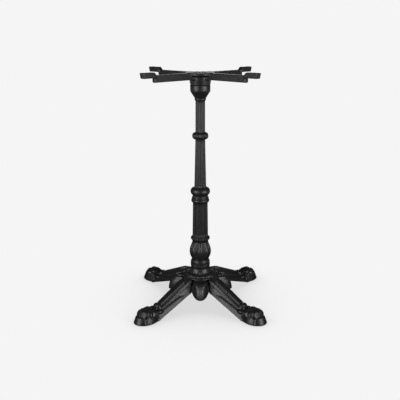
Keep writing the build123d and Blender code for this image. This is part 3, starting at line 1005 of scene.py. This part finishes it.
def sole_field(rho, side, z):
    """Drafted sole of a paw, round in front, creased between its toes."""
    reach = PAW_TIP - SOLE_MID
    oval = np.sqrt(((rho - SOLE_MID) / reach) ** 2 + (side / SOLE_HALF_W) ** 2)
    flank = HEEL_HALF_W + (SOLE_HALF_W - HEEL_HALF_W) * smooth(rho, LEG_HEEL, SOLE_MID)
    outline = np.where(rho > SOLE_MID, (oval - 1) * SOLE_HALF_W, side - flank)
    turn = np.arctan2(side / SOLE_HALF_W, (rho - SOLE_MID) / reach)
    crease = bump(turn, CREASE_TURN, CREASE_W) * smooth(z, *CREASE_IN)
    sole = SOLE_SCALE * (outline + SOLE_DRAFT * z / SOLE_H + CREASE_DEPTH * crease)
    dip = SOLE_DIP * bump(turn, CREASE_TURN, SOLE_DIP_W)
    sole = blend_max(sole, z - SOLE_H + dip, SOLE_ROUND)
    return np.maximum(np.maximum(sole, -z), LEG_HEEL - SOLE_LAP - rho)


def paw_field(rho, side, z):
    """Paw: sole, toes with sloping faces, domed top, heel pad and a leaf cuff at the ankle."""
    place = (rho - SOLE_MID, side, z)
    toes = [toe(place, **sizes) for sizes in (FRONT_TOE, OUTER_TOE, INNER_TOE)]
    paw = np.minimum(np.minimum(toes[0], toes[1]), toes[2])
    paw = blend_min(paw, ellipsoid(place, **PAW_DOME), DOME_FILLET)
    paw = blend_min(paw, ellipsoid(place, **HEEL_PAD), HEEL_FILLET)
    ankle = np.minimum(ellipsoid(place, **ANKLE_BUD), ellipsoid(place, **ANKLE_CUFF))
    paw = np.maximum(np.minimum(paw, ankle), TOE_FOOT - z)
    return blend_min(paw, sole_field(rho, side, z), SOLE_FILLET)


def hub_field(r, angle, z):
    """Hub: drum, rim, sloping shoulder with a row of eggs, toothed line and upright neck."""
    heights, widths = zip(*HUB_DRUM, *HUB_RIM, *HUB_SHOULDER, *HUB_LINE, *HUB_NECK)
    egg = np.abs(np.sin(EGGS * angle / 2))
    on_shoulder = smooth(z, *EGGS_IN) * (1 - smooth(z, *EGGS_OUT))
    tooth = np.abs(((angle * TEETH / (2 * np.pi)) % 1.0) - 0.5) * 2
    on_line = smooth(z, *TEETH_IN) * (1 - smooth(z, *TEETH_OUT))
    relief = on_shoulder * (EGG_RELIEF * egg - EGG_SINK) + on_line * (TOOTH_RELIEF * tooth - TOOTH_SINK)
    hub = HUB_SCALE * (r - np.interp(z, heights, widths) - relief)
    return np.maximum(hub, np.maximum(DRUM_FOOT - z, z - BASE_TOP))


def tongue_reach(z):
    """Reach of a tongue's outside at a height, swelling like a quarter of an oval."""
    above = np.clip((z - TONGUE_TIP_Z) / (TONGUE_DROP + TONGUE_RISE), 0, 1)
    return TONGUE_ROOT + (TONGUE_REACH - TONGUE_ROOT) * np.sqrt(1 - above**2)


def tongue_outside(px, y, z):
    """Rough distance to a tongue's rounded outside."""
    reach = tongue_reach(z)
    half = TONGUE_HALF_W * (TONGUE_WAIST + (1 - TONGUE_WAIST) * reach / TONGUE_REACH)
    n = TONGUE_FLATNESS
    q = ((px / reach) ** n + (y / half) ** n) ** (1 / n)
    steep = np.sqrt(((px / reach) ** (n - 1) / reach) ** 2 + ((y / half) ** (n - 1) / half) ** 2)
    return (q - 1) * q ** (n - 1) / np.maximum(steep, 1 / TONGUE_REACH)


def tongue_relief(px, y, z, width):
    """Carving of a tongue: vein, two broad ribs and scroll ears in front, fine veins on its sides."""
    front = smooth(px, *FRONT_IN)
    ribs = np.cos(2 * np.pi * y / (RIB_PITCH * width)) * smooth(z - TONGUE_TIP_Z, *RIBS_IN)
    vein = bump(y, 0, VEIN_W)
    ear = np.sqrt((y - EAR_SIDE) ** 2 + (z - EAR_Z) ** 2)
    scroll = EAR_RELIEF * (1 - smooth(ear, *EAR_EDGE))
    side_veins = np.cos(2 * np.pi * (SIDE_VEINS_OUT * px + SIDE_VEINS_UP * z)) * (1 - front)
    return front * (scroll - RIB_RELIEF * ribs - VEIN_DEPTH * vein) + SIDE_VEIN_RELIEF * side_veins


def tongue_field(x, y, z):
    """Hanging leaf: hood open behind and below, joined to the hub by a web."""
    px = np.clip(x - TONGUE_AXIS, 0, None)
    below = np.clip(TONGUE_TIP_Z + TONGUE_HALF_W - z, 0, TONGUE_HALF_W)
    width = np.sqrt(TONGUE_HALF_W**2 - below**2) + TONGUE_TIP_W
    outside = tongue_outside(px, y, z)
    plate = blend_max(outside - tongue_relief(px, y, z, width), -(outside + TONGUE_WALL), TONGUE_EDGE)
    plate = blend_max(plate, FACE_SCALE * (y - width), TONGUE_SIDE_ROUND)
    plate = np.maximum(plate, TONGUE_TIP_Z - z)
    plate = blend_max(plate, z - TONGUE_TOP_Z - HOOD_RISE, HOOD_ROUND)
    plate = np.maximum(plate, TONGUE_AXIS - x)
    web_end = TONGUE_AXIS + tongue_reach(TONGUE_TOP_Z) - WEB_LAP
    web = blend_max(y - WEB_W, z - TONGUE_TOP_Z, HOOD_ROUND)
    web = np.maximum(web, TONGUE_TOP_Z - WEB_T - z)
    web = np.maximum(web, np.maximum(HUB_R - x, x - web_end))
    return blend_min(plate, web, WEB_FILLET)


def base_field(x, y, z):
    """The whole base casting over one quarter, with its leg on the diagonal."""
    rho, side, z, r = on_diagonal(x, y, z)
    angle = np.arctan2(np.abs(y), np.abs(x)) + 0 * z
    leg = blend_min(leg_field(rho, side, z), neck_field(rho, side, z), NECK_FILLET)
    leg = blend_min(leg, paw_field(rho, side, z), PAW_FILLET)
    hub = blend_min(hub_field(r, angle, z), leg, HUB_FILLET)
    along = np.maximum(np.abs(x), np.abs(y)) + 0 * z
    off = np.minimum(np.abs(x), np.abs(y)) + 0 * z
    base = blend_min(hub, tongue_field(along, off, z), TONGUE_FILLET)
    base = np.maximum(base, -np.maximum(r - DRUM_INSIDE, z - ROOF_Z))
    base = np.maximum(base, -np.maximum(r - SOCKET_R, BASE_TOP - SOCKET_H - z))
    base = np.maximum(base, ROD_HOLE_R - r)
    return np.maximum(base, -z)


# Spider

def arm_field(rho, side, z):
    """Tapering arm that ends in a raised screw tab with an undercut end."""
    width = ARM_ROOT_W + (ARM_END_W - ARM_ROOT_W) * rho / ARM_END
    arm = blend_max(side - width, z - SPIDER_TOP, ARM_TOP_ROUND)
    arm = blend_max(arm, SPIDER_TOP - ARM_H - z, ARM_ROUND)
    arm = blend_max(arm, rho - ARM_END, ARM_ROUND)
    lean = TAB_UNDERCUT * (SPIDER_HEAD - z) / TAB_T
    tab = blend_max(side - TAB_W, z - SPIDER_HEAD, TAB_TOP_ROUND)
    tab = blend_max(tab, SPIDER_HEAD - TAB_T - z, TAB_FOOT_ROUND)
    tab = blend_max(tab, rho + lean - TAB_END, TAB_END_ROUND)
    rise = (TAB_START - rho + np.clip(z - SPIDER_TOP, 0, None)) / RISE_SCALE
    tab = blend_max(tab, rise, TAB_START_ROUND)
    return blend_min(arm, tab, TAB_FILLET)


def bell_radius(z):
    """Radius of the upright bell and its plate at a height."""
    plate_foot = SPIDER_TOP - PLATE_T
    heights = [SPIDER_FOOT, SPIDER_FOOT + BELL_EDGE, SPIDER_TOP - ARM_H]
    heights += [plate_foot - COVE_DROP, plate_foot - PLATE_EDGE, plate_foot + PLATE_EDGE]
    widths = [CAPITAL_R - CAPITAL_EDGE, CAPITAL_R, BELL_R - BELL_TAPER]
    widths += [BELL_R, PLATE_R - PLATE_LIP, PLATE_R]
    return np.interp(z, heights, widths)


def spider_field(x, y, z):
    """The spider over one quarter, with its arm on the diagonal."""
    rho, side, z, r = on_diagonal(x, y, z)
    hub = blend_max(BELL_SCALE * (r - bell_radius(z)), z - SPIDER_TOP, PLATE_ROUND)
    spider = np.maximum(blend_min(arm_field(rho, side, z), hub, ARM_FILLET), SPIDER_FOOT - z)
    spider = np.maximum(spider, -blend_max(r - WELL_R, SPIDER_TOP - WELL_DEPTH - z, WELL_ROUND))
    spider = np.maximum(spider, -np.maximum(r - SOCKET_R, z - SPIDER_FOOT - SOCKET_H))
    spider = np.maximum(spider, ROD_HOLE_R - r)
    hole = np.sqrt((rho - TAB_HOLE) ** 2 + side**2)
    return np.maximum(spider, TAB_HOLE_R - hole)


# Rod, nuts and washers

def rod():
    """Rod with a cut thread at both ends."""
    low, high = [corner.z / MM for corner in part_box("tie_rod")]
    angles = round_angles(ROD_STEPS)
    foot = np.arange(low, low + THREAD_L, THREAD_PITCH / THREAD_ROWS)
    head = np.arange(high - THREAD_L, high, THREAD_PITCH / THREAD_ROWS)
    heights = np.concatenate([foot, head])
    turn = angles - 2 * np.pi * heights[:, None] / THREAD_PITCH
    thread = ROD_R - THREAD_DEPTH * (0.5 + 0.5 * np.cos(turn))
    end_r = ROD_R - THREAD_DEPTH
    inside = np.array([end_r, ROD_CENTRE_R, ROD_CENTRE_R, end_r])[:, None] + 0 * angles
    heights = np.concatenate([heights, [high, high, low, low]])
    return turned(np.concatenate([thread, inside]), heights, angles)


def nut(foot):
    """Hexagon nut with chamfered corners."""
    angles = round_angles(NUT_STEPS)
    flat = np.pi / 3
    hexagon = NUT_FLATS / 2 / np.cos((angles % flat) - flat / 2)
    chamfer = np.minimum(hexagon, NUT_FLATS / 2 + NUT_CORNER)
    bore = np.full_like(hexagon, ROD_R + NUT_GAP)
    radii = np.concatenate([bore, chamfer, hexagon, hexagon, chamfer, bore])
    heights = foot + np.array([0, 0, NUT_CHAMFER, NUT_H - NUT_CHAMFER, NUT_H, NUT_H])
    return turned(radii, heights, angles)


def washer(foot):
    """Flat washer with broken edges."""
    angles = round_angles(WASHER_STEPS)
    bore = ROD_R + WASHER_GAP
    rim = WASHER_R - WASHER_EDGE
    radii = np.array([bore, rim, WASHER_R, WASHER_R, rim, bore])
    heights = foot + np.array([0, 0, WASHER_EDGE, WASHER_T - WASHER_EDGE, WASHER_T, WASHER_T])
    return turned(radii[:, None] + 0 * angles, heights, angles)


# Stage, lights and camera

def one_axis(tree, place, axis):
    """One coordinate of a place."""
    node = tree.nodes.new("ShaderNodeSeparateXYZ")
    tree.links.new(tree.nodes.new("ShaderNodeTexCoord").outputs[place], node.inputs["Vector"])
    return node.outputs[axis]


def maths(tree, operation, *values):
    """Result of an operation on one or two values."""
    node = tree.nodes.new("ShaderNodeMath")
    node.operation = operation
    for value, socket in zip(values, node.inputs):
        tree.links.new(value, socket)
    return node.outputs["Value"]


def seen_apart(tree, seen, unseen, output):
    """Surface with one shader for the camera and another for all other rays."""
    path = tree.nodes.new("ShaderNodeLightPath")
    mix = tree.nodes.new("ShaderNodeMixShader")
    out = tree.nodes.new(output)
    tree.links.new(path.outputs["Is Camera Ray"], mix.inputs["Fac"])
    tree.links.new(unseen.outputs[0], mix.inputs[1])
    tree.links.new(seen.outputs[0], mix.inputs[2])
    tree.links.new(mix.outputs["Shader"], out.inputs["Surface"])


def stage():
    """Pale floor, shaded near the object, that glows on the object from both sides of a dark lane."""
    mesh = bpy.data.meshes.new("floor")
    corners = [(-1, -1), (1, -1), (1, 1), (-1, 1)]
    mesh.from_pydata([(FLOOR_HALF * x, FLOOR_HALF * y, 0) for x, y in corners], [], [(0, 1, 2, 3)])
    floor = new_object("floor", mesh)
    material = bpy.data.materials.new("floor")
    material.use_nodes = True
    tree = material.node_tree
    tree.nodes.clear()
    near = tree.nodes.new("ShaderNodeAmbientOcclusion")
    near.samples = SHADE_SAMPLES
    near.inputs["Distance"].default_value = SHADE_REACH
    seen = tree.nodes.new("ShaderNodeEmission")
    shade = ranged(tree, near.outputs["AO"], SHADE_DEEPEST, 1.0, SHADE, BACKDROP)
    tree.links.new(shade, seen.inputs["Strength"])
    unseen = tree.nodes.new("ShaderNodeEmission")
    aside = maths(tree, "ABSOLUTE", one_axis(tree, "Object", "X"))
    near_side = ranged(tree, aside, LANE_DARK, LANE_EDGE, 0.0, FLOOR_GLOW)
    far_side = ranged(tree, aside, LANE_FAR, LANE_END, 1.0, 0.0)
    tree.links.new(maths(tree, "MULTIPLY", near_side, far_side), unseen.inputs["Strength"])
    seen_apart(tree, seen, unseen, "ShaderNodeOutputMaterial")
    mesh.materials.append(material)


def room():
    """Even pale backdrop that lights the object only a little, apart from a bright spot behind it."""
    world = bpy.data.worlds.new("room")
    bpy.context.scene.world = world
    world.use_nodes = True
    tree = world.node_tree
    tree.nodes.clear()
    seen = tree.nodes.new("ShaderNodeBackground")
    seen.inputs["Color"].default_value = (BACKDROP, BACKDROP, BACKDROP, 1)
    unseen = tree.nodes.new("ShaderNodeBackground")
    glow = ranged(tree, one_axis(tree, "Generated", "Y"), BACK_EDGE, 1.0, ROOM_GLOW, BACK_GLOW)
    tree.links.new(glow, unseen.inputs["Strength"])
    seen_apart(tree, seen, unseen, "ShaderNodeOutputWorld")


def softbox(name, place, aim, size, watts):
    """Rectangular soft light at a place, facing another."""
    light = bpy.data.lights.new(name, "AREA")
    light.shape = "RECTANGLE"
    light.size, light.size_y = size
    light.energy = watts
    obj = new_object(name, light)
    obj.location = place
    away = [a - p for a, p in zip(aim, place)]
    pitch = math.atan2(away[2], math.hypot(away[0], away[1]))
    heading = math.atan2(away[1], away[0])
    obj.rotation_euler = (math.pi / 2 + pitch, 0, heading - math.pi / 2)


def camera():
    """Camera at the photograph's place."""
    data = bpy.data.cameras.new("camera")
    data.sensor_width = SENSOR
    data.lens = SENSOR * FOCAL_PX / FRAME_PX
    data.shift_x = CAMERA_SHIFT
    obj = new_object("camera", data)
    obj.location = (0, -CAMERA_BACK, CAMERA_H)
    obj.rotation_euler = (math.pi / 2 - CAMERA_PITCH, 0, 0)
    bpy.context.scene.camera = obj


iron = black_iron()
zinc = steel()

stand_for(mesh_object("column_carved", *turned(*column_rows())), "column", iron)
base_grid = quarter_grid(BASE_REACH, 0.0, BASE_TOP, BASE_VOXEL)
base = carved_object("base_carved", base_field(*base_grid), base_grid, BASE_TRIANGLES)
stand_for(base, "base_casting", iron)
spider_grid = quarter_grid(SPIDER_REACH, SPIDER_FOOT, SPIDER_HEAD, SPIDER_VOXEL)
spider = carved_object("spider_cast", spider_field(*spider_grid), spider_grid, SPIDER_TRIANGLES)
stand_for(spider, "top_spider", iron)

stand_for(mesh_object("tie_rod_threaded", *rod()), "tie_rod", zinc)
lower_washer = ROOF_Z - WASHER_T
well_floor = SPIDER_TOP - WELL_DEPTH
washers = together([washer(lower_washer), washer(well_floor)])
stand_for(mesh_object("washers_flat", *washers), "washers", zinc)
nuts = together([nut(lower_washer - NUT_H), nut(well_floor + WASHER_T)])
stand_for(mesh_object("nuts_hexagon", *nuts), "nuts", zinc)

stage()
room()
for hand in (-1, 1):
    place = (hand * SOFTBOX_X, -SOFTBOX_BACK, SOFTBOX_MID_Z)
    softbox("softbox", place, (0, 0, SOFTBOX_AIM_Z), (SOFTBOX_W, SOFTBOX_H), SOFTBOX_WATTS)
camera()
bpy.context.scene.view_settings.view_transform = "Standard"
